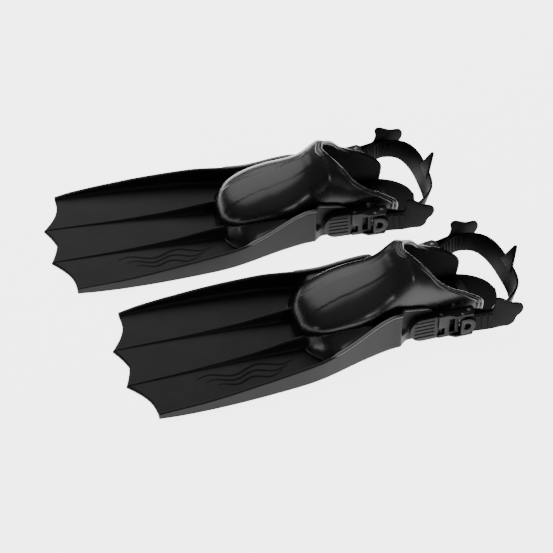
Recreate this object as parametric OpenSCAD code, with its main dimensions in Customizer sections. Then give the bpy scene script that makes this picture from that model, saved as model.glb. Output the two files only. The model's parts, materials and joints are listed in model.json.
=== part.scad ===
// A pair of open-heel swim fins with adjustable strap and swivel buckles.
// One fin lies along +X from the blade tip to the heel, with +Y across it and
// its flat underside on z = 0. The left fin is the same fin, set down beside
// the right one and turned a little.

/* [Blade] */
// Half the width of the blade at its two tip corners
tip_half_w = 102.5; // [98:0.5:106]
// How far the two middle points reach past the tip corners
point_reach = 25; // [15:1:32]
// Distance of the middle points from the centre line
point_y = 35; // [28:1:42]
// Thickness of the blade's web and of the sole under the foot
web_t = 5; // [4:0.5:6]
// Thickness of the raised rails along both edges
rail_t = 5; // [4:0.5:6]
// Height of the rails at the tip corners
rail_tip_h = 8; // [6:1:12]
// Greatest height of the rails, beside the foot
rail_top_h = 53; // [52:1:56]

/* [Foot pocket] */
// Where the toe of the pocket starts, from the tip corners
toe_x = 211; // [210:0.5:212]
// Thickness of the pocket's rubber wall
pocket_t = 4; // [3:0.5:4.5]
// Height of the instep at the ankle opening
collar_h = 110; // [108:1:114]

/* [Buckles] */
// Where the buckles' studs are, from the tip corners
stud_x = 368; // [366:1:370]
// Height of the studs above the floor
stud_z = 22; // [21.8:0.1:23]
// Radius of the studs
stud_r = 5; // [4:0.5:5.5]
// Running clearance of the turning parts, on the radius
run_gap = 0.08; // [0.03:0.01:0.1]
// Height of the buckles
buckle_h = 36; // [35.5:0.1:36.5]

/* [Strap] */
// Thickness of the heel strap
strap_t = 3.4; // [3:0.1:3.6]
// Height of the strap's band
strap_h = 29; // [26:0.5:29.5]
// Where the strap's back is, from the tip corners
strap_back_x = 506; // [504:1:515]
// How far the buckle on the +Y side lies swung up, in degrees
side_lift = 8; // [0:0.5:10]

/* [Pair] */
// How far the left fin lies from the right one, across the fins
pair_gap_y = 262; // [255:1:280]
// How far the left fin is pushed towards its heel
pair_shift_x = 53; // [45:1:60]
// How far the left fin is turned, in degrees
pair_turn = 4.6; // [3:0.1:6]

/* [Hidden] */
FINS = ["right", "left"];
SIDES = ["inner", "outer"];
FIN_PARTS = ["blade", "foot_pocket", "footbed", "heel_strap"];
SIDE_PARTS = ["stud", "stud_plate", "stud_screw", "buckle_frame", "release_pad",
              "pad_spring", "cam_lever", "roller", "buckle_pins"];

// The pair stands centred on the origin
pair_middle = [273.729, -129.128, 0];

// Colours of the three kinds of piece
rubber_matte = [0.10, 0.10, 0.11];
rubber_gloss = [0.05, 0.05, 0.055];
plastic = [0.20, 0.20, 0.21];
steel = [0.65, 0.66, 0.68];

// Blade plan: [x, half-width of the rail's outer face]
EDGE = [[0, tip_half_w], [30, 105], [65, 106], [100, 105.5], [135, 103.8], [170, 101.3],
        [200, 98.3], [222, 94.3], [240, 89.5], [258, 84], [276, 78.5], [294, 73.6],
        [312, 69.4], [326, 67], [338, 66]];
// Rail height: [x, z of its top edge]
RAIL_TOP = [[0, rail_tip_h], [20, 11], [50, 14], [85, 17.3], [120, 21], [160, 24.5],
            [200, 27.5], [225, 28.5], [248, 31], [268, 35], [285, 40.5], [300, 46],
            [315, rail_top_h - 2.5], [330, rail_top_h], [342, rail_top_h - 0.5],
            [356, rail_top_h - 3], [378, rail_top_h - 7], [388, 39], [395, 29]];
rail_end_x = 338;
lug_out = 56;            // outer face of the side lug that carries the stud
lug_t = 4;
lug_end_x = 395;

// Buckle stack, measured outwards from the lug's face
stack = lug_out + 0.6;   // inner face of the buckle frame
plate_t = 3;
deck_t = 3;              // top and bottom plates of the frame
roller_x = 432;
roller_y = stack + 8.5;
roller_r = 4;
wrap_r = roller_r + 0.3 + strap_t / 2;
pad_pin_x = 394;
pad_pin_y = stack + 6.3;
lever_pin_x = 421;
lever_pin_y = stack + 14.5;
deck_lo = stud_z - buckle_h / 2;
deck_hi = stud_z + buckle_h / 2;
pin_r = 1.5;
small_pin_r = 1.2;

function smooth(t) = t * t * (3 - 2 * t);
function mirror_y(pts) = [for (i = [len(pts) - 1 : -1 : 0]) [pts[i][0], -pts[i][1]]];

// ---------------------------------------------------------------- blade

module side_profile(pts, half_w) {
    translate([0, half_w, 0])
        rotate([90, 0, 0])
            linear_extrude(2 * half_w)
                polygon(pts);
}

module blade_plan() {
    point = [-point_reach, point_y];
    side = concat(
        scallop([-12, 0], point, 5),
        scallop(point, [0, tip_half_w], 9),
        EDGE,
        [[rail_end_x + 4, lug_out], [lug_end_x, lug_out], [lug_end_x + 12, 52],
         [430, 50], [452, 46.5], [470, 40], [485, 29], [494, 16], [498, 0]]);
    polygon(concat(side, mirror_y([for (i = [1 : len(side) - 2]) side[i]])));
}

// One bay of the scalloped tip, from point a up to point b, hollowed by depth
function scallop(a, b, depth) =
    [for (i = [0 : 5]) let (t = i / 6)
        [a[0] + (b[0] - a[0]) * t + depth * sin(180 * t) * (a[1] == 0 ? 0.25 : 1),
         a[1] + (b[1] - a[1]) * t]];

module rail_plan() {
    inner = [for (i = [len(EDGE) - 1 : -1 : 0]) [EDGE[i][0] + (i == 0 ? 1 : 0), EDGE[i][1] - rail_t]];
    polygon(concat(EDGE, inner));
}

module lug_plan() {
    polygon([[rail_end_x - 1, EDGE[len(EDGE) - 1][1]], [rail_end_x + 4, lug_out],
             [lug_end_x, lug_out], [lug_end_x, lug_out - lug_t],
             [rail_end_x + 4, lug_out - lug_t], [rail_end_x - 1, EDGE[len(EDGE) - 1][1] - rail_t]]);
}

// A long low ridge with a flat crest, growing towards the toe
module ridge(side) {
    x0 = 3;
    x1 = toe_x + 14;
    function ring(x, y, w, h) = [[x, y - w, web_t - 1], [x, y + w, web_t - 1],
                                 [x, y + w * 0.45, h], [x, y - w * 0.45, h]];
    pts = concat(ring(x0, side * 34.5, 1.5, 6), ring(70, side * 32.8, 4, 12),
                 ring(140, side * 30.9, 5, 18), ring(x1, side * 28.8, 6, 24.5));
    walls = [for (r = [0 : 2]) for (k = [0 : 3]) let (a = r * 4 + k, b = r * 4 + (k + 1) % 4)
             each [[b + 4, b, a], [a + 4, b + 4, a]]];
    polyhedron(pts, concat([[0, 1, 2, 3]], walls, [[15, 14, 13, 12]]), convexity = 4);
}

module blade() color(rubber_matte) {
    difference() {
        union() {
            linear_extrude(web_t) blade_plan();
            intersection() {
                union() {
                    linear_extrude(rail_top_h + 2) rail_plan();
                    mirror([0, 1, 0]) linear_extrude(rail_top_h + 2) rail_plan();
                    linear_extrude(rail_top_h + 2) lug_plan();
                    mirror([0, 1, 0]) linear_extrude(rail_top_h + 2) lug_plan();
                }
                side_profile(concat(RAIL_TOP, [[lug_end_x, 0], [0, 0]]), 120);
            }
        }
        for (s = [-1, 1])
            translate([stud_x, s * (lug_out - lug_t - 1), stud_z])
                rotate([-90 * s, 0, 0])
                    cylinder(r = stud_r, h = lug_t + 2, $fn = 48);
    }
    for (s = [-1, 1]) ridge(s);
}

// ---------------------------------------------------------------- foot pocket

// Half-width of the toe cap and the walls above it: [x, half-width]
CAP_W = [[211, 0], [213, 18], [218, 29], [225, 38], [236, 47], [250, 52], [270, 55.5],
         [290, 57], [310, 56.5], [326, 53.5], [340, 50.3], [395, 50.3], [430, 48.8], [465, 45]];
// Height of the crown line: [x, z]; behind the collar it only shapes the side walls
CROWN = [[211, 14], [213, 27], [218, 37], [225, 45], [236, 52.5], [250, 59], [270, 66],
         [290, 70.5], [310, 76.5], [330, 86], [344, 96], [354, 105], [362, collar_h],
         [370, collar_h - 3.5], [384, 100.5], [397, 92], [415, 89.5], [435, 93], [450, 93],
         [465, 81]];
// Height of the cap's lower edge, as a share of the crown: [x, share]
FLANGE = [[211, 0.6], [290, 0.58], [335, 0.34], [465, 0.34]];
// Half-width of the skirt at the foot of the walls: [x, half-width]
SKIRT_W = [[211, 0.5], [213, 30], [216, 43], [222, 57], [230, 67], [238, 77], [244, 82.4],
           [258, 78.8], [276, 73.3], [294, 68.4], [312, 64.2], [326, 61.8], [336, 60.9],
           [342, 50.3], [395, 50.3], [430, 48.8], [465, 45]];
// Height of the skirt's outer edge: [x, z]
SKIRT_Z = [[211, 7], [230, 8], [238, 12], [246, 20], [256, 28], [268, 32], [285, 37.5],
           [300, 43], [320, 48], [336, 48], [342, 30], [465, 20]];
// Where the pocket ends, by how far up its arch a line runs: [share, x]
RIM_X = [[0, 463], [0.1, 465], [0.2, 451], [0.3, 435], [0.42, 415], [0.55, 398],
         [0.7, 384], [0.85, 371], [0.93, 364], [1, 361]];
arch_n = 12;             // lines from the flange to the crown, on one side
long_n = 26;             // rings from the toe to the rim

function rim_x(k) = lookup(k, RIM_X);

// Outer wall at x, line v of 0 (foot of the skirt) to arch_n + 2 (crown)
function wall_outer(x, v) =
    v == 0 ? [lookup(x, SKIRT_W), web_t]
    : v == 1 ? [lookup(x, SKIRT_W), max(web_t + 1.5, lookup(x, SKIRT_Z))]
    : let (t = (v - 2) / arch_n,
           w = max(lookup(x, CAP_W), 0.4), top = lookup(x, CROWN),
           low = max(web_t + 2, top * lookup(x, FLANGE)),
           a = 90 * t)
      [w * pow(cos(a), 0.75) * (v == arch_n + 2 ? 0 : 1), low + (top - low) * pow(sin(a), 0.85)];

// Inner wall at x, the same lines
function wall_inner(x, v) =
    let (w = max(lookup(x, CAP_W) - pocket_t, 0.3), top = max(lookup(x, CROWN) - pocket_t, web_t + 2),
         low = max(web_t + 1, top * lookup(x, FLANGE)))
    v == 0 ? [w, web_t]
    : v == 1 ? [w, web_t + (low - web_t) * 0.6]
    : let (a = 90 * (v - 2) / arch_n)
      [w * pow(cos(a), 0.75) * (v == arch_n + 2 ? 0 : 1), low + (top - low) * pow(sin(a), 0.85)];

function line_share(v) = v < 2 ? 0.06 * v : 0.1 + 0.9 * (v - 2) / arch_n;
function ring_x(i, v, start) =
    let (t = i / long_n) start + (rim_x(line_share(v)) - start) * (0.25 * t + 0.75 * t * t);

// The lines run from the foot of one wall over the crown to the other wall
mid_line = arch_n + 2;
lines = 2 * mid_line + 1;
function fold(k) = k <= mid_line ? k : 2 * mid_line - k;
function hand(k) = k <= mid_line ? 1 : -1;
function at(i, k) = i * lines + k;

module foot_pocket() color(rubber_gloss) {
    outer = [for (i = [0 : long_n]) for (k = [0 : lines - 1])
             let (v = fold(k), x = ring_x(i, v, toe_x), p = wall_outer(x, v))
             [x, hand(k) * p[0], p[1]]];
    inner = [for (i = [0 : long_n]) for (k = [0 : lines - 1])
             let (v = fold(k), x = ring_x(i, v, toe_x + pocket_t), p = wall_inner(x, v))
             [x, hand(k) * p[0], p[1]]];
    n = len(outer);
    skin = [for (i = [0 : long_n - 1]) for (k = [0 : lines - 2])
            each [[at(i, k), at(i + 1, k), at(i + 1, k + 1)], [at(i, k), at(i + 1, k + 1), at(i, k + 1)]]];
    lining = [for (f = skin) [f[2] + n, f[1] + n, f[0] + n]];
    rim = [for (k = [0 : lines - 2]) let (a = at(long_n, k), b = at(long_n, k + 1))
           each [[a, a + n, b + n], [a, b + n, b]]];
    toe = [for (k = [0 : lines - 2]) let (a = at(0, k), b = at(0, k + 1))
           each [[a, b, b + n], [a, b + n, a + n]]];
    foot = [for (i = [0 : long_n - 1]) for (k = [0, lines - 1]) let (a = at(i, k), b = at(i + 1, k))
            each k == 0 ? [[a, a + n, b + n], [a, b + n, b]] : [[a, b, b + n], [a, b + n, a + n]]];
    polyhedron(concat(outer, inner), concat(skin, lining, rim, toe, foot), convexity = 10);
}

module footbed() color(rubber_matte) {
    half = [[226, 24], [236, 36], [252, 44], [272, 48.5], [300, 49.5], [325, 46.5], [340, 45.8],
            [395, 45.8], [430, 44], [452, 41.5], [459, 36]];
    translate([0, 0, web_t])
        linear_extrude(3)
            polygon(concat(half, mirror_y(half)));
    // Grip bars across the tread
    for (x = [250 : 12 : 442])
        translate([x - 2, -30, web_t + 3])
            cube([4, 60, 1.2]);
}

// ---------------------------------------------------------------- studs

module across(x, y0, length, r) {
    translate([x, y0, stud_z])
        rotate([-90, 0, 0])
            cylinder(r = r, h = length, $fn = 48);
}

stud_in = lug_out - lug_t - 1.5;      // inner end of the stud
stud_out = stack + plate_t + 0.3;     // outer end, just proud of the frame

module stud() color(plastic) difference() {
    across(stud_x, stud_in, stud_out - stud_in, stud_r);
    across(stud_x, stud_out - 6, 7, 2);
}

// Pill-shaped plate behind the lug, which keeps the stud from turning
module stud_plate() color(steel) difference() {
    pill_w = 14;
    plate_y = stud_in + 0.1;
    thick = lug_out - lug_t - plate_y;
    union() {
        across(stud_x - 9, plate_y, thick, pill_w / 2);
        across(stud_x + 9, plate_y, thick, pill_w / 2);
        translate([stud_x - 9, plate_y, stud_z - pill_w / 2]) cube([18, thick, pill_w]);
    }
    across(stud_x, plate_y - 1, thick + 2, stud_r);
}

module stud_screw() color(steel) {
    head_y = stud_out;
    difference() {
        across(stud_x, head_y, 0.5, 6.5);
        // Cross recess
        for (a = [0, 90])
            translate([stud_x, head_y + 0.4, stud_z])
                rotate([0, a, 0])
                    translate([-3, -0.1, -0.5])
                        cube([6, 1, 1]);
    }
    across(stud_x, stud_out - 6, 6.1, 2);
}

// ---------------------------------------------------------------- buckle

module upright(x, y, z0, z1, r) {
    translate([x, y, z0]) cylinder(r = r, h = z1 - z0, $fn = 40);
}

// Turns a buckle's pieces up about the studs' axis
module lifted(angle) {
    translate([stud_x, 0, stud_z])
        rotate([0, -angle, 0])
            translate([-stud_x, 0, -stud_z])
                children();
}

module buckle_frame() color(plastic) difference() {
    deck = [[389.1, stack], [438, stack], [439.5, stack + 1.5], [439.5, stack + 12], [435, stack + 17.4],
            [412, stack + 17.4], [404, stack + 12], [389.1, stack + 12]];
    union() {
        // Inner plate with its round swivel end
        across(stud_x, stack, plate_t, buckle_h / 2);
        translate([stud_x, stack, deck_lo]) cube([418 - stud_x, plate_t, buckle_h]);
        // Top and bottom decks
        for (z = [deck_lo, deck_hi - deck_t])
            translate([0, 0, z]) linear_extrude(deck_t) polygon(deck);
        // Outer plate with the window
        translate([389.5, stack + 9, deck_lo]) cube([27.5, 3, buckle_h]);
    }
    across(stud_x, stack - 1, plate_t + 2, stud_r + run_gap);
    // Window slot and the notch that shows the pad's pin
    translate([404, stack + 8, stud_z - 11]) cube([8, 5, 22]);
    translate([389, stack + 8, deck_lo + 5]) cube([9, 5, 11]);
    upright(pad_pin_x, pad_pin_y, deck_lo - 1, deck_hi + 1, small_pin_r);
    upright(lever_pin_x, lever_pin_y, deck_lo - 1, deck_hi + 1, small_pin_r);
    upright(roller_x, roller_y, deck_lo - 1, deck_hi + 1, pin_r);
}

module buckle_pins() color(steel) {
    for (p = [[pad_pin_x, pad_pin_y, small_pin_r], [lever_pin_x, lever_pin_y, small_pin_r],
              [roller_x, roller_y, pin_r]]) {
        upright(p[0], p[1], deck_lo, deck_hi, p[2]);
        upright(p[0], p[1], deck_hi, deck_hi + 0.8, p[2] + 1.2);
        upright(p[0], p[1], deck_lo - 0.8, deck_lo, p[2] + 1.2);
    }
}

module release_pad() color(plastic) difference() {
    pad_y = stack + 5.5;
    hub_r = 2.4;
    z0 = deck_lo + deck_t + 0.5;
    z1 = deck_hi - deck_t - 0.5;
    union() {
        intersection() {
            union() {
                across(stud_x, pad_y, 5, buckle_h / 2);
                translate([stud_x, pad_y, deck_lo]) cube([388.6 - stud_x, 5, buckle_h]);
            }
            translate([340, pad_y - 1, deck_lo]) cube([48.6, 8, buckle_h]);
        }
        // Arm and hub that turn on the pad's pin
        translate([384, stack + 5.1, z0]) cube([pad_pin_x - 384, 2.4, z1 - z0]);
        upright(pad_pin_x, pad_pin_y, z0, z1, hub_r);
        // Grip ribs
        for (i = [-2 : 2])
            translate([stud_x - 11, pad_y + 5, stud_z + i * 6 - 1]) cube([27, 1, 2]);
    }
    upright(pad_pin_x, pad_pin_y, z0 - 1, z1 + 1, small_pin_r + run_gap);
    // Room for the screw head when the pad is pressed
    across(stud_x, pad_y - 1, 2, 8);
    // The arm's corner under the decks
    translate([384.5, stack + 5, deck_lo - 1]) cube([3.9, 0.5, buckle_h + 2]);
}

module pad_spring() color(steel) {
    // A bowed steel leaf between the frame and the pad
    bow = 1.3;
    leaf = 0.4;
    top = [for (i = [0 : 10]) let (t = i / 10) [372 + 13 * t, stack + plate_t + leaf + bow * sin(180 * t)]];
    under = [for (i = [10 : -1 : 0]) let (t = i / 10) [372 + 13 * t, stack + plate_t + bow * sin(180 * t)]];
    translate([4, 0, stud_z - 6])
        linear_extrude(12)
            polygon(concat(top, under));
}

module cam_lever() color(plastic) difference() {
    hub_r = 2.8;
    z0 = deck_lo + deck_t + 0.5;
    z1 = deck_hi - deck_t - 0.5;
    tongue_y = stack + 17.7;
    union() {
        upright(lever_pin_x, lever_pin_y, z0, z1, hub_r);
        // D-shaped tongue outside the strap
        translate([lever_pin_x - 2.8, tongue_y, stud_z]) rotate([-90, 0, 0]) difference() {
            union() {
                translate([0, -12, 0]) cube([8, 24, 2.4]);
                translate([8, 0, 0]) cylinder(r = 12, h = 2.4, $fn = 48);
            }
            translate([-20, -13, -1]) cube([20, 26, 5]);
            // Finger window of the loop
            translate([8, 0, -1]) cylinder(r = 5.5, h = 5, $fn = 40);
        }
        translate([lever_pin_x - 2.8, lever_pin_y, z0 + 2]) cube([5.6, tongue_y - lever_pin_y + 0.5, 22]);
    }
    upright(lever_pin_x, lever_pin_y, z0 - 1, z1 + 1, small_pin_r + run_gap);
}

module roller() color(plastic) difference() {
    z0 = deck_lo + deck_t + 0.4;
    z1 = deck_hi - deck_t - 0.4;
    upright(roller_x, roller_y, z0, z1, roller_r);
    upright(roller_x, roller_y, z0 - 1, z1 + 1, pin_r + run_gap);
}

// ---------------------------------------------------------------- heel strap

tail_turn = 6;           // how far the tails flare outwards, in degrees
bend_n = 10;
loop_n = 30;
loop_half_w = 73;        // widest half-width of the loop
loop_power = 0.71;       // below 1: squarer than an ellipse
back_z = 36;             // height of the band's middle line behind the heel
back_lean = 19;          // how far the band leans back there, in degrees

// A point [x, y] of a buckle at stud height, turned up by angle: [x, y, z]
function lift_point(p, angle) =
    [stud_x + (p[0] - stud_x) * cos(angle), p[1], stud_z + (p[0] - stud_x) * sin(angle)];

// One half of the strap's middle line, as [[x, y, z], height, lean]
function half_path(angle) =
    let (start = lift_point([roller_x, roller_y - wrap_r], angle))
    concat(
        // Round the roller, from the outside to the inside
        [for (i = [0 : bend_n]) let (a = 90 + tail_turn + (180 - tail_turn) * i / bend_n)
            [lift_point([roller_x + wrap_r * cos(a), roller_y + wrap_r * sin(a)], angle),
             strap_h, -angle]],
        // Along the heel's side, then round its back
        [for (i = [1 : loop_n]) let (t = i / loop_n, p = loop_at(t, start), k = smooth(min(1, t * 1.6)))
            [[p[0], p[1], start[2] + (back_z - start[2]) * k
                          + (p[0] - start[0]) * tan(angle) * (1 - smooth(t))],
             strap_h + 2 * smooth(t), -angle + (back_lean + angle) * smooth(min(1, t * 1.3))]]);

// The loop behind the heel: t = 0 at the roller, 1 at the middle of the back
function loop_at(t, start) =
    let (a = 90 * t,
         x = start[0] + (strap_back_x - start[0]) * pow(sin(a), loop_power),
         widen = smooth(min(1, (x - start[0]) / 38)))
    [x, (start[1] + (loop_half_w - start[1]) * widen) * pow(cos(a), loop_power) * (t == 1 ? 0 : 1)];

// Unit direction of a path at its point i, in plan
function along(path, i) =
    let (a = path[max(0, i - 1)][0], b = path[min(len(path) - 1, i + 1)][0],
         d = [b[0] - a[0], b[1] - a[1]]) d / norm(d);

// The strap's section at point i
function band_ring(path, i) =
    let (p = path[i][0], d = along(path, i), h = path[i][1] / 2, w = strap_t / 2, l = path[i][2])
    [for (c = [[-w, -h], [w, -h], [w, h], [-w, h]])
        [p[0] + d[1] * c[0] + sin(l) * c[1], p[1] - d[0] * c[0], p[2] + cos(l) * c[1]]];

function far_side(path) = [for (i = [len(path) - 2 : -1 : 0])
    [[path[i][0][0], -path[i][0][1], path[i][0][2]], path[i][1], path[i][2]]];

module strap_band() {
    path = concat(half_path(side_lift), far_side(half_path(0)));
    m = len(path);
    pts = [for (i = [0 : m - 1]) each band_ring(path, i)];
    walls = [for (i = [0 : m - 2]) for (k = [0 : 3]) let (a = i * 4 + k, b = i * 4 + (k + 1) % 4)
             each [[a, b, b + 4], [a, b + 4, a + 4]]];
    polyhedron(pts, concat([[3, 2, 1, 0]], walls, [[m * 4 - 4, m * 4 - 3, m * 4 - 2, m * 4 - 1]]),
               convexity = 8);
}

// The ribbed end of the strap that folds back outside the buckle
module strap_tail() {
    // A little thicker and wider than the band, whose end it holds
    over = 0.1;
    lo = stud_z - strap_h / 2 - over;
    hi = stud_z + strap_h / 2 + over;
    outline = [[-0.8, lo], [30, lo], [44, 9.5], [54, 9], [61, 14], [64, 24], [70, 29], [73, 37], [71, 44],
               [64, 47], [56, 48], [42, 58], [36, 60], [32, 56], [33, 46], [28, hi], [-0.8, hi]];
    translate([roller_x - sin(tail_turn) * wrap_r, roller_y + wrap_r * cos(tail_turn), 0])
        rotate([0, 0, tail_turn])
            translate([0, strap_t / 2 + over, 0])
                rotate([90, 0, 0]) {
                    linear_extrude(strap_t + 2 * over) polygon(outline);
                    for (i = [0 : 3])
                        translate([10 + 6 * i, lo + 3, -0.9]) cube([2.2, strap_h - 6, 1.5]);
                }
}

// The pull tab that stands up at the back of the heel
module pull_tab() {
    translate([strap_back_x + 3.5, 0, 48])
        rotate([0, 20, 0])
            rotate([90, 0, 90])
                linear_extrude(strap_t, center = true)
                    polygon([[-17, -4], [17, -4], [1.5, 29], [-1.5, 29]]);
}

module heel_strap() color(rubber_matte) {
    strap_band();
    lifted(side_lift) strap_tail();
    mirror([0, 1, 0]) strap_tail();
    pull_tab();
}

// ---------------------------------------------------------------- placing

module place(fin) {
    shift = fin == "left" ? [pair_shift_x, -pair_gap_y, 0] : [0, 0, 0];
    turn = fin == "left" ? pair_turn : 0;
    translate(shift - pair_middle) rotate([0, 0, turn]) children();
}

// The right fin's outer side is +Y, the left fin's is -Y
function is_plus(fin, side) = (fin == "right") == (side == "outer");

module on_side(fin, side) {
    mirror([0, is_plus(fin, side) ? 0 : 1, 0]) children();
}

module on_buckle(fin, side) {
    on_side(fin, side) lifted(is_plus(fin, side) ? side_lift : 0) children();
}

for (fin = FINS) {
    place(fin) blade();
    place(fin) foot_pocket();
    place(fin) footbed();
    place(fin) heel_strap();
    for (side = SIDES) {
        at = str(fin, "_", side, "_");
        place(fin) on_side(fin, side) stud();
        place(fin) on_side(fin, side) stud_plate();
        place(fin) on_side(fin, side) stud_screw();
        place(fin) on_buckle(fin, side) buckle_frame();
        place(fin) on_buckle(fin, side) release_pad();
        place(fin) on_buckle(fin, side) pad_spring();
        place(fin) on_buckle(fin, side) cam_lever();
        place(fin) on_buckle(fin, side) roller();
        place(fin) on_buckle(fin, side) buckle_pins();
    }
}
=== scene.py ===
"""A pair of black open-heel swim fins on a pale floor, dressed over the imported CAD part.

Every shape is written once in a fin's own millimetres: x runs from the blade's tip corners to
the heel, y across the fin and z up from its flat underside. to_row() puts it down twice.
"""

import json
import math

import bmesh
import bpy
import numpy as np
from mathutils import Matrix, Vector

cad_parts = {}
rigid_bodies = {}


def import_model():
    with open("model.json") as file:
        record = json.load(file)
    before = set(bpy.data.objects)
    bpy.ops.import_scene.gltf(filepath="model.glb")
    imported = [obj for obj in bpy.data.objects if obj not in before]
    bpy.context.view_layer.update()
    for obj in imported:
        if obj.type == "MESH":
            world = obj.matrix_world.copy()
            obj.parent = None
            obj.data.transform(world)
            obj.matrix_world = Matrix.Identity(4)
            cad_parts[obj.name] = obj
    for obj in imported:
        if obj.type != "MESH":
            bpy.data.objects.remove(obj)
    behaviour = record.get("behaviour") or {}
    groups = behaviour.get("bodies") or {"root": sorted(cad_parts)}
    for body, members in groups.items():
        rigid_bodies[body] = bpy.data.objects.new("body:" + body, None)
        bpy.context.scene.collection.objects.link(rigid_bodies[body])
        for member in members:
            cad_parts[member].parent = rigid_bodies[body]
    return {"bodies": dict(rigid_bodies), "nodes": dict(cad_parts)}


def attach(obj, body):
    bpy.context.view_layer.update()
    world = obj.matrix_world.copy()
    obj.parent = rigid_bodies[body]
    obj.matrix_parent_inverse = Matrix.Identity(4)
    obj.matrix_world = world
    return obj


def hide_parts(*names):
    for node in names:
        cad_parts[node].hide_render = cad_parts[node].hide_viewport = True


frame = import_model()

# ---------------------------------------------------------------- placing

MID = (273.729, -129.128)  # the pair's middle, in the right fin's millimetres
FINS = {"right": (0.0, 0.0, 0.0), "left": (53.0, -262.0, math.radians(4.6))}
SIDES = ("inner", "outer")
STUD = (368.0, 22.0)  # x and z of the studs
SIDE_LIFT = 8.0  # how far the buckle on the +Y side lies swung up, in degrees


def to_row(fin, points):
    """The fin's own millimetres to the row frame's metres."""
    shift_x, shift_y, turn = FINS[fin]
    p = np.asarray(points, float).reshape(-1, 3)
    c, s = math.cos(turn), math.sin(turn)
    x = c * p[:, 0] - s * p[:, 1] + shift_x - MID[0]
    y = s * p[:, 0] + c * p[:, 1] + shift_y - MID[1]
    return np.stack([x, y, p[:, 2]], 1) / 1000


def swung(points, angle):
    """Points turned up about the studs' axis, in degrees."""
    p = np.asarray(points, float).reshape(-1, 3).copy()
    c, s = math.cos(math.radians(angle)), math.sin(math.radians(angle))
    x, z = p[:, 0] - STUD[0], p[:, 2] - STUD[1]
    p[:, 0] = STUD[0] + c * x - s * z
    p[:, 2] = STUD[1] + s * x + c * z
    return p


def smooth(t):
    t = np.clip(t, 0, 1)
    return t * t * (3 - 2 * t)


def curve(*knots):
    """A smooth curve with no overshoot through [x, value] knots."""
    x, y = np.array(knots, float).T
    h = np.diff(x)
    d = np.diff(y) / h
    m = np.zeros(len(x))
    m[0], m[-1] = d[0], d[-1]
    for i in range(1, len(x) - 1):
        if d[i - 1] * d[i] > 0:
            before, after = 2 * h[i] + h[i - 1], h[i] + 2 * h[i - 1]
            m[i] = (before + after) / (before / d[i - 1] + after / d[i])

    def at(q):
        q = np.clip(q, x[0], x[-1])
        i = np.clip(np.searchsorted(x, q, side="right") - 1, 0, len(h) - 1)
        t = (q - x[i]) / h[i]
        return (
            y[i] * (1 + 2 * t) * (1 - t) ** 2
            + m[i] * h[i] * t * (1 - t) ** 2
            + y[i + 1] * t * t * (3 - 2 * t)
            + m[i + 1] * h[i] * t * t * (t - 1)
        )

    return at


# ---------------------------------------------------------------- materials


def material(
    name, color, rough, grain=0.0, grain_size=1500.0, metal=0.0, shine=0.5, blotch=0.0, glow=0.0
):
    """A procedural surface: base colour, a roughness that varies a little, and fine grain."""
    m = bpy.data.materials.new(name)
    m.use_nodes = True
    nodes, links = m.node_tree.nodes, m.node_tree.links
    bsdf = nodes["Principled BSDF"]
    bsdf.inputs["Base Color"].default_value = (*color, 1)
    bsdf.inputs["Roughness"].default_value = rough
    bsdf.inputs["Metallic"].default_value = metal
    bsdf.inputs["Specular IOR Level"].default_value = shine
    if glow:
        bsdf.inputs["Emission Color"].default_value = (1, 1, 1, 1)
        bsdf.inputs["Emission Strength"].default_value = glow
    where = nodes.new("ShaderNodeTexCoord")
    if blotch:
        cloud = nodes.new("ShaderNodeTexNoise")
        cloud.inputs["Scale"].default_value = 28
        cloud.inputs["Detail"].default_value = 4
        spread = nodes.new("ShaderNodeMapRange")
        spread.inputs["To Min"].default_value = rough - blotch
        spread.inputs["To Max"].default_value = rough + blotch
        links.new(where.outputs["Object"], cloud.inputs["Vector"])
        links.new(cloud.outputs["Fac"], spread.inputs["Value"])
        links.new(spread.outputs["Result"], bsdf.inputs["Roughness"])
    if grain:
        noise = nodes.new("ShaderNodeTexNoise")
        noise.inputs["Scale"].default_value = grain_size
        noise.inputs["Detail"].default_value = 3
        bump = nodes.new("ShaderNodeBump")
        bump.inputs["Strength"].default_value = grain
        bump.inputs["Distance"].default_value = 0.0002
        links.new(where.outputs["Object"], noise.inputs["Vector"])
        links.new(noise.outputs["Fac"], bump.inputs["Height"])
        links.new(bump.outputs["Normal"], bsdf.inputs["Normal"])
    return m


BLADE_BLACK = (0.0055, 0.0057, 0.0058)
POCKET_BLACK = (0.003, 0.0032, 0.003)
STRAP_BLACK = (0.002, 0.002, 0.0021)
BUCKLE_BLACK = (0.005, 0.005, 0.0053)
PAD_BLACK = (0.008, 0.008, 0.0083)
STEEL_GREY = (0.13, 0.13, 0.135)
MATERIALS = {
    "blade_rubber": material("blade_rubber", BLADE_BLACK, 0.45, 0.25, 1600, shine=0.13, blotch=0.05),
    "pocket_rubber": material("pocket_rubber", POCKET_BLACK, 0.27, 0.04, 900, shine=0.36, blotch=0.03),
    "strap_rubber": material("strap_rubber", STRAP_BLACK, 0.5, 0.35, 1300, shine=0.05, blotch=0.05),
    "buckle_plastic": material("buckle_plastic", BUCKLE_BLACK, 0.42, 0.2, 1900, shine=0.15, blotch=0.05),
    "pad_plastic": material("pad_plastic", PAD_BLACK, 0.46, 0.2, 1900, shine=0.14, blotch=0.05),
    "steel": material("steel", STEEL_GREY, 0.38, 0.08, 2600, metal=1.0, blotch=0.05),
}
MOTIF = material("motif_gloss", (0.0015, 0.0015, 0.0015), 0.4, 0.1, 1500, shine=0.04, blotch=0.03)
LINING = material("pocket_lining", (0.02, 0.021, 0.02), 0.6, 0.5, 1100, shine=0.2, blotch=0.05)
# The rail lips' material is a lighter copy of the pocket rubber. Its lighter colour is a painted highlight
# along the rail's top edge, and its high shine is real gloss.
LIP_PAINTED_HIGHLIGHT = material("rolled_lip_painted_highlight", (0.02, 0.021, 0.02), 0.33, 0.05, 900, shine=0.8, blotch=0.03)

# ---------------------------------------------------------------- mesh helpers


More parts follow.
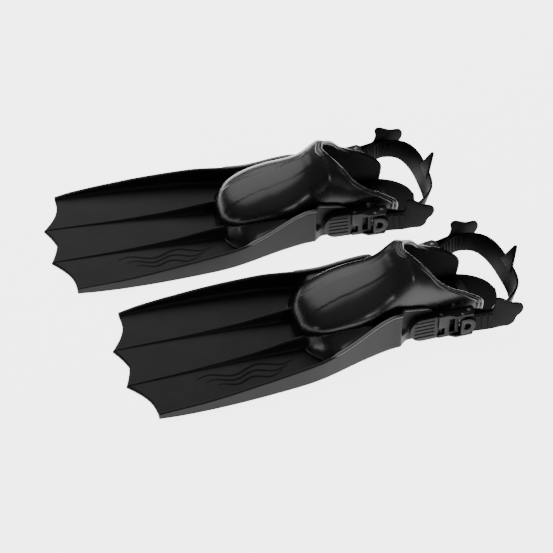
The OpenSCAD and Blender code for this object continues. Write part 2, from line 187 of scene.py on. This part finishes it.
def make_mesh(name, points_m, faces, body, slot, nodes=(), shade=40.0, look=None, lined=range(0)):
    """One object from points in metres, riding on a CAD body. Faces in lined get the lining."""
    data = bpy.data.meshes.new(name)
    data.from_pydata([tuple(p) for p in points_m], [], faces)
    data.materials.append(look or MATERIALS[slot])
    if len(lined):
        data.materials.append(LINING)
        for i in lined:
            data.polygons[i].material_index = 1
    b = bmesh.new()
    b.from_mesh(data)
    bmesh.ops.remove_doubles(b, verts=b.verts, dist=1e-6)
    bmesh.ops.recalc_face_normals(b, faces=b.faces)
    b.to_mesh(data)
    b.free()
    obj = bpy.data.objects.new(name, data)
    bpy.context.scene.collection.objects.link(obj)
    data.shade_smooth()
    mark_sharp(data, shade)
    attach(obj, body)
    if nodes:
        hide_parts(*nodes)
    return obj


def mark_sharp(data, degrees):
    """Edges that turn more than this stay sharp under smooth shading."""
    b = bmesh.new()
    b.from_mesh(data)
    limit = math.radians(degrees)
    for e in b.edges:
        if len(e.link_faces) == 2 and e.calc_face_angle(0) > limit:
            e.smooth = False
    b.to_mesh(data)
    b.free()


def loft(loops, closed=True, caps=True):
    """Faces that join loops of equal length, and the points in one list."""
    n = len(loops[0])
    points = np.concatenate([np.asarray(q, float) for q in loops])
    faces = []
    for i in range(len(loops) - 1):
        for k in range(n if closed else n - 1):
            a, b = i * n + k, i * n + (k + 1) % n
            faces.append((a, b, b + n, a + n))
    if caps and closed:
        faces.append(tuple(range(n))[::-1])
        faces.append(tuple((len(loops) - 1) * n + k for k in range(n)))
    return points, faces


def joined(*parts):
    """Several (points, faces) pairs as one."""
    points, faces, start = [], [], 0
    for p, f in parts:
        points.append(np.asarray(p, float).reshape(-1, 3))
        faces += [tuple(i + start for i in face) for face in f]
        start += len(points[-1])
    return np.concatenate(points), faces


def rounded_box_section(half_w, half_h, r, steps=4):
    """A rectangle with rounded corners, as [across, up] points."""
    out = []
    for sx, sy, start in ((1, 1, 0), (-1, 1, 90), (-1, -1, 180), (1, -1, 270)):
        for i in range(steps + 1):
            a = math.radians(start + 90 * i / steps)
            out.append((sx * (half_w - r) + r * math.cos(a), sy * (half_h - r) + r * math.sin(a)))
    return out


def soften(node, slot, width=0.0004, segments=2):
    """A copy of a CAD node with its facets merged and its edges rounded, shown in its place."""
    source = frame["nodes"][node]
    data = source.data.copy()
    b = bmesh.new()
    b.from_mesh(data)
    bmesh.ops.remove_doubles(b, verts=b.verts, dist=2e-6)
    bmesh.ops.dissolve_limit(b, angle_limit=math.radians(1.0), verts=b.verts, edges=b.edges)
    b.to_mesh(data)
    b.free()
    obj = bpy.data.objects.new(node + "_soft", data)
    bpy.context.scene.collection.objects.link(obj)
    obj.matrix_world = source.matrix_world.copy()
    data.materials.clear()
    data.materials.append(MATERIALS[slot])
    data.shade_smooth()
    bevel = obj.modifiers.new("rounded edges", "BEVEL")
    bevel.width = width
    bevel.segments = segments
    bevel.limit_method = "ANGLE"
    bevel.angle_limit = math.radians(32)
    bevel.harden_normals = True
    body = next(n for n, e in frame["bodies"].items() if source.parent == e)
    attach(obj, body)
    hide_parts(node)
    return obj


# ---------------------------------------------------------------- blade

WEB = 5.0
EDGE = curve(
    [0, 102.5], [30, 105], [65, 106], [100, 105.5], [135, 103.8], [170, 101.3], [200, 98.3],
    [222, 94.3], [240, 89.5], [258, 84], [276, 78.5], [294, 73.6], [312, 69.4], [326, 67], [338, 66],
)
LOW_EDGE = curve([338, 66], [342, 62.4], [346, 58.8], [350, 56.5], [353, 56], [395, 56])
SOLE = curve(
    [395, 56], [407, 52], [430, 50], [452, 46.5], [470, 40], [485, 29], [494, 16], [498, 0.5],
)
RAIL_TOP = curve(
    [0, 8], [20, 11], [50, 14], [85, 17.3], [120, 21], [160, 24.5], [200, 27.5], [225, 28.5],
    [248, 31], [268, 35], [285, 40.5], [300, 46], [315, 50.5], [330, 53], [342, 52.5],
    [356, 50], [378, 46], [388, 39], [395, 29],
)
RIDGE_Y = curve([3, 35], [70, 32.8], [140, 30.9], [225, 28.8], [240, 28.8])
RIDGE_W = curve([-30, 1.2], [3, 1.4], [70, 2.4], [140, 3.4], [225, 5.2], [240, 5.2])
RIDGE_H = curve([-30, 0], [-8, 0], [3, 0.8], [70, 2.6], [140, 6.6], [225, 16], [240, 16])
RAIL_END = 338.0  # where the rail's upper part steps in to the side lug
LUG_END = 395.0  # the back of the side lug
HEEL_END = 498.0  # the back of the sole
RIDGE_STEPS = (-1, -0.93, -0.8, -0.5, -0.38, -0.3, -0.12, 0.12, 0.3, 0.38, 0.5, 0.8, 0.93, 1)
SHARED = 11 + len(RIDGE_STEPS) + 21  # lines that the web's two faces have in common
RIDGE_PROFILE = curve(
    [0, 1], [0.12, 1], [0.3, 0.97], [0.38, 0.9], [0.8, 0.12], [0.93, 0.02], [1, 0], [9, 0],
)


def tip_x(y):
    """The scalloped tip: how far behind or past the tip corners it is at y."""
    if y <= 35:
        t = y / 35
        return -12 - 13 * t + 1.25 * math.sin(math.pi * t)
    t = (y - 35) / 67.5
    return -25 + 25 * t + 9 * math.sin(math.pi * t)


def outer_y(x, z):
    """The rail's outer face. Behind RAIL_END its upper part steps in to the side lug."""
    if x <= RAIL_END:
        return EDGE(x)
    if x > LUG_END:
        return SOLE(x)
    upper = 66 - 10 * smooth((x - RAIL_END) / 3.5)
    return LOW_EDGE(x) + (upper - LOW_EDGE(x)) * smooth((z - 17) / 5)


def blade_half(x, edge_gap):
    """Half a section at x, from the bottom middle round to the top middle, as [y, z] points."""
    rail = x <= LUG_END
    top = RAIL_TOP(x) if rail else WEB + 0.8
    thick = (5.0 if x <= RAIL_END else 4.0) if rail else 3.0
    bottom_out = outer_y(x, 0)
    reach = outer_y(x, top)
    ridge = min(RIDGE_Y(x), reach * 0.55)
    half_ridge = min(RIDGE_W(x) * 1.35, reach * 0.12)
    foot = max(reach - thick - 3.2, ridge + half_ridge + 0.5)
    web = WEB - 1.6 * max(0.0, 1 - edge_gap / 2.2) ** 2
    floor_z = 1.2 * max(0.0, 1 - edge_gap / 1.5) ** 2
    shared = list(np.linspace(0, ridge - half_ridge - 0.7, 11))
    shared += [ridge + half_ridge * q for q in RIDGE_STEPS]
    shared += list(np.linspace(ridge + half_ridge + 0.7, foot, 21))

    def web_z(y):
        q = abs(y - ridge) / half_ridge
        rise = RIDGE_H(x) * (1 - smooth((x - 226) / 8))
        return web + rise * RIDGE_PROFILE(q)

    bottom = [(y, floor_z) for y in shared] + [(bottom_out - 0.9, floor_z)]
    outside = [(outer_y(x, f * top), max(f * top, 0.9)) for f in np.linspace(0.02, 0.96, 16)]
    crest = [
        (reach - 0.15, top - 0.45), (reach - 0.7, top - 0.05), (reach - thick / 2, top + 0.1),
        (reach - thick + 0.7, top - 0.05), (reach - thick + 0.15, top - 0.45), (reach - thick, top - 1.3),
    ]
    low = min(web + 3.2, top - 1.5)
    inside = [
        (reach - thick, (low + top - 1.3) / 2), (reach - thick, low),
        (reach - thick - 0.9, web + (low - web) * 0.3), (foot, web),
    ]
    if not rail:
        crest = [(reach - 0.15 * i, top - 0.9 + 0.15 * i) for i in range(6)]
        inside = [(reach - 1.5, top), (reach - 2, top), (reach - 2.5, top - 0.3), (foot, web)]
    return bottom + outside + crest + inside + [(y, web_z(y)) for y in reversed(shared[:-1])]


def blade_shape():
    gaps = [0, 0.25, 0.6, 1.1, 1.8, 2.6]
    xs = gaps + list(np.linspace(4, 330, 120)) + list(np.linspace(331.5, 344, 10))
    xs += list(np.linspace(346, 394.8, 22)) + list(np.linspace(395.2, 470, 18))
    xs += [HEEL_END - 28 * (1 - math.sin(math.pi / 2 * t)) for t in np.linspace(0.08, 1, 16)]
    loops = []
    for x in xs:
        half = blade_half(x, x)
        pull = max(0.0, 1 - x / 60) ** 2
        ring = [(x + tip_x(y) * pull, y, z) for y, z in half]
        ring += [(px, -py, pz) for px, py, pz in reversed(ring[1:-1])]
        loops.append(ring)
    points, faces = loft(loops, caps=False)
    n = len(loops[0])
    half_n = (n + 2) // 2
    for start in (0, (len(loops) - 1) * n):
        # The sections' ends are closed by joining the bottom's points to the top's
        for k in range(SHARED - 1):
            a, b = start + k, start + k + 1
            c, d = start + half_n - 2 - k, start + half_n - 1 - k
            faces.append((a, b, c, d))
            ma, mb = start + (n - k) % n, start + n - k - 1
            md, mc = start + (n - (half_n - 1 - k)) % n, start + n - (half_n - 2 - k)
            faces.append((ma, mb, mc, md))
        last = SHARED - 1
        faces.append(tuple(range(start + last, start + half_n - last)))
        faces.append(tuple(start + n - k for k in range(last, half_n - last)))
    return points, faces


def wave_motif():
    """Three flowing lines, a plain decoration sunk flush into the blade's panel."""
    parts = []
    for row, (x0, x1, amp) in enumerate(((62, 196, 5.0), (74, 186, 4.2), (86, 176, 3.4))):
        loops = []
        for t in np.linspace(0, 1, 90):
            x = x0 + (x1 - x0) * t
            y = -52.5 - 9.5 * row + amp * math.sin(4 * math.pi * t + 0.5 * row) + 2.5 * t
            w = 1.9 * math.sin(math.pi * t) ** 0.5 + 0.05
            slope = amp * 4 * math.pi * math.cos(4 * math.pi * t + 0.5 * row) / (x1 - x0)
            turn = math.atan(slope)
            ring = []
            for across, up in ((-1, 0.02), (-0.6, 0.14), (0.6, 0.14), (1, 0.02), (1, -0.3), (-1, -0.3)):
                ring.append((x - w * across * math.sin(turn), y + w * across * math.cos(turn), WEB + up))
            loops.append(ring)
        parts.append(loft(loops))
    return joined(*parts)


# ---------------------------------------------------------------- foot pocket

WALL = 4.0
TOE_X = 211.0
CAP_W = curve(
    [211, 0.4], [213, 18], [218, 29], [225, 38], [236, 47], [250, 52], [270, 55.5], [290, 57],
    [310, 56.5], [326, 53.5], [340, 50.3], [395, 50.3], [430, 48.8], [465, 45],
)
CROWN = curve(
    [211, 14], [213, 27], [218, 37], [225, 45], [236, 52.5], [250, 59], [270, 66], [290, 70.5],
    [310, 76.5], [330, 86], [344, 96], [354, 105], [362, 110], [370, 106.5], [384, 100.5],
    [397, 92], [415, 89.5], [435, 93], [450, 93], [465, 81],
)
FLANGE = curve([211, 0.6], [290, 0.58], [335, 0.34], [465, 0.34])
SKIRT_W = curve(
    [211, 0.5], [213, 30], [216, 43], [222, 57], [230, 67], [238, 77], [244, 82.4], [258, 78.8],
    [276, 73.3], [294, 68.4], [312, 64.2], [326, 61.8], [336, 60.9], [342, 50.3], [395, 50.3],
    [430, 48.8], [465, 45],
)
SKIRT_Z = curve(
    [211, 7], [230, 8], [238, 12], [246, 20], [256, 28], [268, 32], [285, 37.5], [300, 43],
    [320, 48], [336, 48], [342, 30], [465, 20],
)
RIM_X = curve(
    [0, 457], [0.1, 460], [0.2, 447], [0.3, 432], [0.42, 414], [0.55, 398], [0.7, 384],
    [0.85, 371], [0.93, 364], [1, 361],
)
SKIRT_LINES = 12  # lines on the skirt's slope
ARCH_LINES = 52  # lines from the cap's lower edge to the crown


def pocket_point(x, v, inside):
    """The wall at x. v is 0 to 1 up the skirt's edge, 1 to 2 up its slope, 2 to 3 over the arch."""
    gap = WALL if inside else 0.0
    w = max(CAP_W(x) - gap, 0.3)
    top = max(CROWN(x) - gap, WEB + 2)
    low = max(WEB + (1 if inside else 2), top * FLANGE(x))
    if v >= 2:
        a = math.pi / 2 * (v - 2)
        y = w * max(math.cos(a), 0.0) ** 0.75
        return y, low + (top - low) * math.sin(a) ** 0.85
    foot_w = w if inside else SKIRT_W(x)
    foot_z = WEB + (low - WEB) * 0.5 if inside else max(WEB + 1.0, SKIRT_Z(x))
    if v <= 1:
        return foot_w, WEB - 0.2 + (foot_z - WEB + 0.2) * v
    s = v - 1
    hollow = 0.0 if inside else min(4.0, 0.22 * max(foot_w - w, 0)) * math.sin(math.pi * s)
    return foot_w + (w - foot_w) * s, max(WEB + 0.4, foot_z + (low - foot_z) * s - hollow)


def pocket_grid(inside):
    """Rows of points from the toe to the rim, over both sides."""
    share = [v * 0.06 for v in np.linspace(0, 1, 5)]
    lines = list(np.linspace(0, 1, 5))
    for s in np.linspace(0, 1, SKIRT_LINES + 1)[1:]:
        lines.append(1 + s)
        share.append(0.06 + 0.04 * s)
    for s in np.linspace(0, 1, ARCH_LINES + 1)[1:]:
        lines.append(2 + s)
        share.append(0.1 + 0.9 * s)
    near_rim = [1 - d / 350 for d in np.linspace(0, 15.5, 27)]
    ts = sorted(set(list(np.linspace(0, 0.955, 90)) + near_rim))
    start = TOE_X + (WALL if inside else 0)
    rows = []
    for t in ts:
        half = []
        for v, k in zip(lines, share):
            x = start + (RIM_X(k) - start) * (0.25 * t + 0.75 * t * t)
            y, z = pocket_point(x, v, inside)
            half.append((x, y, z))
        half[-1] = (half[-1][0], 0.0, half[-1][2])
        rows.append(half + [(x, -y, z) for x, y, z in reversed(half[:-1])])
    return np.array(rows)


def grid_normals(g):
    """Outward normals of the pocket's grid."""
    n = np.cross(np.gradient(g, axis=0), np.gradient(g, axis=1))
    n /= np.maximum(np.linalg.norm(n, axis=2, keepdims=True), 1e-9)
    middle = g.shape[1] // 2
    if n[g.shape[0] // 2, middle, 2] < 0:
        n = -n
    return n


def from_rim(g):
    """Distance of each point from the rim, along its line."""
    step = np.linalg.norm(np.diff(g, axis=0), axis=2)
    d = np.zeros(g.shape[:2])
    d[:-1] = np.cumsum(step[::-1], axis=0)[::-1]
    return d


BEAD = curve(
    [0, 0.9], [1.0, 1.75], [2.4, 2.0], [3.6, 1.3], [4.4, 0.35], [5.4, 0.3], [6.4, 1.0], [7.6, 1.2],
    [8.8, 0.9], [10.2, 0.1], [11.5, 0], [400, 0],
)


def pocket_shape():
    outer, inner = pocket_grid(False), pocket_grid(True)
    normal = grid_normals(outer)
    gap = from_rim(outer)
    swell = BEAD(gap)
    # A raised panel runs along the instep and ends in a line across it
    x, y, z = outer[..., 0], outer[..., 1], outer[..., 2]
    edge = 21 - 6 * np.clip((x - 220) / 122, 0, 1)
    panel = smooth((edge - abs(y)) / 1.2 + 0.5) * smooth((342 - x) / 1.2 + 0.5) * smooth((z - 24) / 6)
    body = swell + 0.45 * panel
    # The bead fades out where the rim meets the sole
    fade = smooth((z - 10) / 26)
    outer = outer + normal * (body * fade)[..., None]
    rows, cols = outer.shape[:2]
    lip = 0.5 * (outer[-1] + inner[-1]) + np.array([1.4, 0, 0]) + normal[-1] * 0.5
    half_out = 0.25 * inner[-1] + 0.75 * outer[-1] + np.array([1.0, 0, 0]) + normal[-1] * 0.3
    half_in = 0.75 * inner[-1] + 0.25 * outer[-1] + np.array([1.0, 0, 0])
    loops = list(outer) + [half_out, lip, half_in] + list(inner[::-1])
    points, faces = loft(loops, closed=False)
    lined = range((rows + 3) * (cols - 1), len(faces))
    # Close the underside between the two skins
    total = len(loops)
    for k in (0, cols - 1):
        for i in range(rows - 1):
            j = total - 1 - i
            faces.append((i * cols + k, (i + 1) * cols + k, (j - 1) * cols + k, j * cols + k))
    return (points, faces), lined


def rail_lip(sign):
    """The pocket rubber rolled over the rail's top edge, running out above the buckle as a thin shelf."""
    loops = []
    for x in np.linspace(232, 385, 110):
        grow = smooth((x - 232) / 14) * smooth((389 - x) / 16)
        past = x - RAIL_END
        if past <= 0:
            out, back = EDGE(x) + 0.4, EDGE(x) - 5.4
        else:
            out, back = 66.4 - 10.3 * smooth(past / 8.5), 60.6 - 9.0 * smooth(past / 8)
        y = (out + back) / 2
        half_w = (out - back) / 2 * grow + 0.1
        z = RAIL_TOP(x) + 0.2
        ring = []
        for i in range(20):
            a = 2 * math.pi * i / 20
            across = math.copysign(abs(math.cos(a)) ** 0.7, math.cos(a))
            ring.append((x, (y + half_w * across) * sign, z + (1.4 * grow + 0.1) * math.sin(a)))
        loops.append(ring)
    return loft(loops)


FOOTBED = [
    (226, 24), (236, 36), (252, 44), (272, 48.5), (300, 49.5), (325, 46.5), (340, 45.8), (395, 45.8),
    (430, 44), (452, 41.5), (459, 36),
]


def footbed_shape():
    """A thin tread with grip bars across it."""
    wide = curve(*FOOTBED)
    loops = []
    for x in np.linspace(226.4, 458.8, 70):
        w = wide(x)
        loops.append(
            [(x, -w, WEB), (x, w, WEB), (x, w, WEB + 2.5), (x, w - 0.6, WEB + 3.0)]
            + [(x, -w + 0.6, WEB + 3.0), (x, -w, WEB + 2.5)]
        )
    parts = [loft(loops)]
    for x in range(250, 443, 12):
        bar = []
        for y in np.linspace(-30, 30, 13):
            up = 1.2 * (1 - (abs(y) / 30) ** 8) + 0.02
            ring = [(x - 2, y, WEB + 2.9), (x - 1.5, y, WEB + 3 + up * 0.8), (x - 0.9, y, WEB + 3 + up)]
            ring += [(x + 0.9, y, WEB + 3 + up), (x + 1.5, y, WEB + 3 + up * 0.8), (x + 2, y, WEB + 2.9)]
            bar.append(ring)
        parts.append(loft(bar))
    return joined(*parts)


# ---------------------------------------------------------------- heel strap

STRAP_T, STRAP_H = 3.4, 29.0
ROLLER = (432.0, 65.1)  # x and y of the roller's middle
WRAP_R = 6.0
TAIL_TURN = 6.0
BACK_X, HALF_W, POWER = 509.0, 74.0, 0.64
BACK_Z, BACK_LEAN = 36.0, 19.0


def half_path(angle):
    """One half of the strap's middle line: [x, y, z, height, lean] from the roller to the back."""
    turn = math.radians(angle)

    def lift(x, y):
        return [STUD[0] + (x - STUD[0]) * math.cos(turn), y, STUD[1] + (x - STUD[0]) * math.sin(turn)]

    out = []
    for a in np.linspace(90 + TAIL_TURN, 270, 22):
        a = math.radians(a)
        place = lift(ROLLER[0] + WRAP_R * math.cos(a), ROLLER[1] + WRAP_R * math.sin(a))
        out.append(place + [STRAP_H, -angle])
    start = out[-1]
    for t in np.linspace(0, 1, 71)[1:]:
        a = math.pi / 2 * t
        x = start[0] + (BACK_X - start[0]) * math.sin(a) ** POWER
        widen = smooth((x - start[0]) / 38)
        y = (start[1] + (HALF_W - start[1]) * widen) * max(math.cos(a), 0.0) ** POWER
        if t == 1:
            y = 0.0
        rise = smooth(t * 1.6)
        z = start[2] + (BACK_Z - start[2]) * rise + (x - start[0]) * math.tan(turn) * (1 - smooth(t))
        lean = -angle + (BACK_LEAN + angle) * smooth(t * 1.3)
        out.append([x, y, z, STRAP_H + 2 * smooth(t), lean])
    return out


def strap_path():
    far = half_path(SIDE_LIFT)
    near = [[x, -y, z, h, lean] for x, y, z, h, lean in half_path(0)]
    return np.array(far + near[-2::-1], float)


def ring_at(path, i, across, up):
    """A point of the strap's section at path point i: across (outwards) and up, in mm."""
    a, b = path[max(0, i - 1)][:2], path[min(len(path) - 1, i + 1)][:2]
    d = (b - a) / np.linalg.norm(b - a)
    lean = math.radians(path[i][4])
    x, y, z = path[i][:3]
    return (x - d[1] * across + math.sin(lean) * up, y + d[0] * across, z + math.cos(lean) * up)


def strap_band():
    path = strap_path()
    loops = []
    for i in range(len(path)):
        section = rounded_box_section(STRAP_T / 2, path[i][3] / 2, 1.0)
        loops.append([ring_at(path, i, w, h) for w, h in section])
    return loft(loops)


def strap_teeth():
    """Grip teeth across the strap, on the side that faces the heel near each buckle."""
    path = strap_path()
    length = np.concatenate([[0], np.cumsum(np.linalg.norm(np.diff(path[:, :3], axis=0), axis=1))])
    parts = []
    for from_end in (False, True):
        for tooth in range(9):
            s = 21 + 5.6 * tooth
            s = length[-1] - s if from_end else s
            i = int(np.searchsorted(length, s))
            half = path[i][3] / 2 - 3.2
            loops = []
            for up in (-half, -half + 0.6, half - 0.6, half):
                short = 0.35 if abs(up) < half - 0.1 else 0.0
                step = path[i + 1][:2] - path[i - 1][:2]
                step = step / np.linalg.norm(step)
                ring = []
                for along, out in ((-1.3, 1.5), (-0.8, 2.3 + short), (0.8, 2.3 + short), (1.3, 1.5)):
                    p = ring_at(path, i, -out, up)
                    ring.append((p[0] + step[0] * along, p[1] + step[1] * along, p[2]))
                loops.append(ring)
            parts.append(loft(loops))
    return joined(*parts)


TAIL = [
    (-0.8, 7.4), (30, 7.4), (44, 9.5), (54, 9), (61, 14), (64, 24), (70, 29), (73, 37), (71, 44),
    (64, 47), (56, 48), (42, 58), (36, 60), (32, 56), (33, 46), (28, 36.6), (-0.8, 36.6),
]


def round_outline(points, cut, steps=4):
    """An outline with its corners rounded off."""
    out = []
    n = len(points)
    for i in range(n):
        a, b, c = (np.array(points[(i + k) % n], float) for k in (-1, 0, 1))
        u, v = a - b, c - b
        lu, lv = np.linalg.norm(u), np.linalg.norm(v)
        r = min(cut, lu * 0.48, lv * 0.48)
        p, q = b + u / lu * r, b + v / lv * r
        for t in np.linspace(0, 1, steps + 1):
            out.append(tuple((1 - t) ** 2 * p + 2 * t * (1 - t) * b + t * t * q))
    return out


def inset(outline, amount):
    """The outline drawn in by amount, point by point."""
    pts = np.array(outline, float)
    d = np.roll(pts, -1, 0) - np.roll(pts, 1, 0)
    d /= np.maximum(np.linalg.norm(d, axis=1, keepdims=True), 1e-9)
    return pts + np.stack([-d[:, 1], d[:, 0]], 1) * amount


def slab(outline, half_t, r=0.9):
    """A flat piece with rounded edges: [x, across, z] points and faces."""
    loops = []
    for k in range(4):
        a = math.pi / 2 * k / 3
        q = inset(outline, r * (1 - math.sin(a)))
        loops.append([(p[0], -half_t + r * (1 - math.cos(a)), p[1]) for p in q])
    for k in range(3, -1, -1):
        a = math.pi / 2 * k / 3
        q = inset(outline, r * (1 - math.sin(a)))
        loops.append([(p[0], half_t - r * (1 - math.cos(a)), p[1]) for p in q])
    return loft(loops)


def strap_tail():
    """The strap's T-shaped end, which folds back outside the buckle, with its ribs."""
    outline = round_outline(TAIL, 3.4)
    parts = [slab(outline, STRAP_T / 2)]
    for i in range(3):
        x = 10 + 8.8 * i
        side = STRAP_T / 2 - 0.2
        bar = []
        for z, out in ((9.6, 0.1), (10.2, 1.2), (33.8, 1.2), (34.4, 0.1)):
            top = side + out
            bar.append([(x - 3.1, side, z), (x - 2.8, top, z), (x + 2.8, top, z), (x + 3.1, side, z)])
        parts.append(loft(bar))
    points, faces = joined(*parts)
    c, s = math.cos(math.radians(TAIL_TURN)), math.sin(math.radians(TAIL_TURN))
    x = ROLLER[0] - s * WRAP_R + c * points[:, 0] - s * points[:, 1]
    y = ROLLER[1] + c * WRAP_R + s * points[:, 0] + c * points[:, 1]
    return np.stack([x, y, points[:, 2]], 1), faces


def pull_tab():
    """The triangular tab that stands up at the back of the heel."""
    outline = round_outline([(-17, -6), (17, -6), (1.8, 29), (-1.8, 29)], 2.0)
    points, faces = slab(outline, STRAP_T / 2, 0.8)
    lean = math.radians(20)
    x = BACK_X + 3.5 + points[:, 1] * math.cos(lean) + points[:, 2] * math.sin(lean)
    z = 48 - points[:, 1] * math.sin(lean) + points[:, 2] * math.cos(lean)
    return np.stack([x, points[:, 0], z], 1), faces


def mirrored(shape):
    points, faces = shape
    return points * np.array([1, -1, 1]), [f[::-1] for f in faces]


def strap_shape():
    points, faces = strap_tail()
    return joined(
        strap_band(), strap_teeth(), (swung(points, SIDE_LIFT), faces), mirrored((points, faces)), pull_tab()
    )


# ---------------------------------------------------------------- building

SOFTENED = {
    "stud": ("buckle_plastic", 0.0003),
    "stud_plate": ("steel", 0.0002),
    "stud_screw": ("steel", 0.00015),
    "buckle_frame": ("buckle_plastic", 0.0005),
    "release_pad": ("pad_plastic", 0.0005),
    "pad_spring": ("steel", 0.0001),
    "cam_lever": ("buckle_plastic", 0.0004),
    "roller": ("buckle_plastic", 0.0003),
    "buckle_pins": ("steel", 0.0003),
}


def build_fin(fin):
    root = f"{fin}_fin"
    strap_body = f"{fin}_strap_and_buckles"
    points, faces = blade_shape()
    replaced = [f"{fin}_blade"]
    make_mesh(f"{fin}_blade_skin", to_row(fin, points), faces, root, "blade_rubber", replaced, 50)
    points, faces = wave_motif()
    make_mesh(f"{fin}_wave_motif", to_row(fin, points), faces, root, "blade_rubber", look=MOTIF)
    (points, faces), lined = pocket_shape()
    skin = to_row(fin, points)
    replaced = [f"{fin}_foot_pocket"]
    make_mesh(f"{fin}_pocket_skin", skin, faces, root, "pocket_rubber", replaced, 55, lined=lined)
    points, faces = joined(rail_lip(1), rail_lip(-1))
    # The lips get the lighter material, whose colour paints a highlight line along the rail tops.
    make_mesh(f"{fin}_rail_lips", to_row(fin, points), faces, root, "pocket_rubber", look=LIP_PAINTED_HIGHLIGHT)
    points, faces = footbed_shape()
    replaced = [f"{fin}_footbed"]
    make_mesh(f"{fin}_footbed_tread", to_row(fin, points), faces, root, "pocket_rubber", replaced)
    points, faces = strap_shape()
    replaced = [f"{fin}_heel_strap"]
    make_mesh(f"{fin}_strap_rubber", to_row(fin, points), faces, strap_body, "strap_rubber", replaced)
    for side in SIDES:
        for part, (slot, width) in SOFTENED.items():
            soften(f"{fin}_{side}_{part}", slot, width)


for name in FINS:
    build_fin(name)

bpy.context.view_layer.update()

# ---------------------------------------------------------------- stage


def floor():
    size = 6.0
    data = bpy.data.meshes.new("floor")
    corners = [(-size, -size, 0), (size, -size, 0), (size, size, 0), (-size, size, 0)]
    data.from_pydata(corners, [], [(0, 1, 2, 3)])
    obj = bpy.data.objects.new("floor", data)
    bpy.context.scene.collection.objects.link(obj)
    data.materials.append(material("floor_white", (0.92, 0.92, 0.92), 0.8, blotch=0.02, glow=4.2))
    return obj


def area_light(name, where, target, size, power, shape=None):
    data = bpy.data.lights.new(name, "AREA")
    data.shape = "RECTANGLE" if shape else "SQUARE"
    data.size = size
    if shape:
        data.size_y = shape
    data.energy = power
    obj = bpy.data.objects.new(name, data)
    obj.location = where
    obj.rotation_euler = (Vector(target) - Vector(where)).to_track_quat("-Z", "Y").to_euler()
    bpy.context.scene.collection.objects.link(obj)
    return obj


DISTANCE = 3.0  # metres from the target
AZIMUTH, ELEVATION, ROLL = -13.36, 40.6, -0.37
TARGET = (-0.015629, -0.042172, 0.040)
LENS = 146.7276  # millimetres


def camera():
    """A long lens from the front left, above the blades."""
    azimuth, elevation, roll = (math.radians(a) for a in (AZIMUTH, ELEVATION, ROLL))
    target = Vector(TARGET)
    level = math.cos(elevation)
    back = Vector((math.sin(azimuth) * level, -math.cos(azimuth) * level, math.sin(elevation)))
    data = bpy.data.cameras.new("camera")
    data.sensor_width = 36
    data.lens = LENS
    obj = bpy.data.objects.new("camera", data)
    obj.location = target + back * DISTANCE
    obj.rotation_euler = (-back).to_track_quat("-Z", "Y").to_euler()
    obj.rotation_euler.rotate_axis("Z", -roll)
    bpy.context.scene.collection.objects.link(obj)
    bpy.context.scene.camera = obj


floor()
camera()
area_light("behind", (-0.35, 2.0, 1.75), (0, 0, 0), 2.3, 38)
area_light("toe_spark", (-2.4, -0.9, 0.55), (-0.05, 0.1, 0.03), 0.08, 4)
area_light("side_streak", (0.8, -2.2, 0.9), (0.02, 0.1, 0.05), 0.3, 6, 0.03)


def studio_world():
    """White light that is strongest from straight above and weak along the horizon."""
    world = bpy.data.worlds.new("studio")
    bpy.context.scene.world = world
    world.use_nodes = True
    nodes, links = world.node_tree.nodes, world.node_tree.links
    where = nodes.new("ShaderNodeTexCoord")
    split = nodes.new("ShaderNodeSeparateXYZ")
    spread = nodes.new("ShaderNodeMapRange")
    spread.inputs["From Min"].default_value = 0.3
    spread.inputs["From Max"].default_value = 1.0
    spread.inputs["To Min"].default_value = 0.07
    spread.inputs["To Max"].default_value = 0.5
    links.new(where.outputs["Generated"], split.inputs["Vector"])
    links.new(split.outputs["Z"], spread.inputs["Value"])
    links.new(spread.outputs["Result"], nodes["Background"].inputs["Strength"])
    nodes["Background"].inputs["Color"].default_value = (1, 1, 1, 1)


studio_world()
